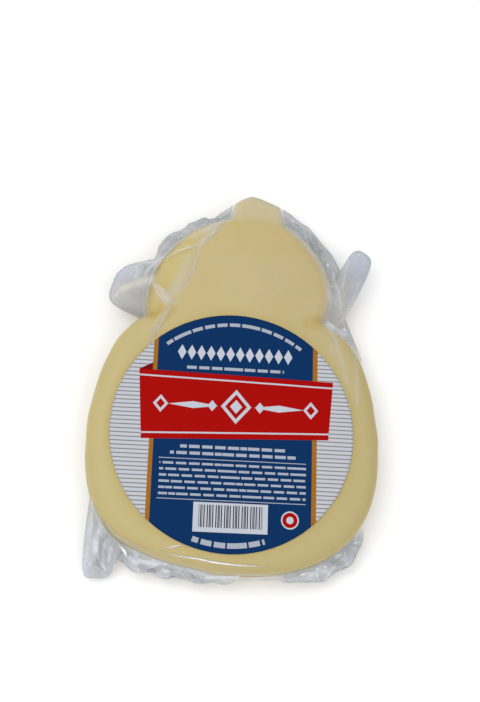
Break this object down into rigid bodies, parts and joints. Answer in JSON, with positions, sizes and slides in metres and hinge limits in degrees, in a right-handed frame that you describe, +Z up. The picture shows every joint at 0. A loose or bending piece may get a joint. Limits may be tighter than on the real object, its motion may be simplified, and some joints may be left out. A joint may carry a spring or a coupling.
{
  "type": "vacuum-packed caciocavallo cheese",
  "caption": "Flat pear-shaped slab of caciocavallo cheese sealed in clear shrink film with crumpled edges and a round paper label on its front; lies on its back.",
  "frame": {"origin": "on the flat base, under the middle of the round label", "axes": "+Z up through the label, +Y from the label towards the head of the pear, +X to the right as seen from the front"},
  "size_m": [0.1233, 0.1727, 0.0191],
  "materials": {
    "film": "clear glossy shrink film over pale yellow cheese",
    "cheese": "smooth pale yellow cheese with a thin rind",
    "label_paper": "satin coated paper printed in fields of colour"
  },
  "bodies": {
    "root": {"sealed_bag": "film", "label": "label_paper"}
  },
  "joints": []
}
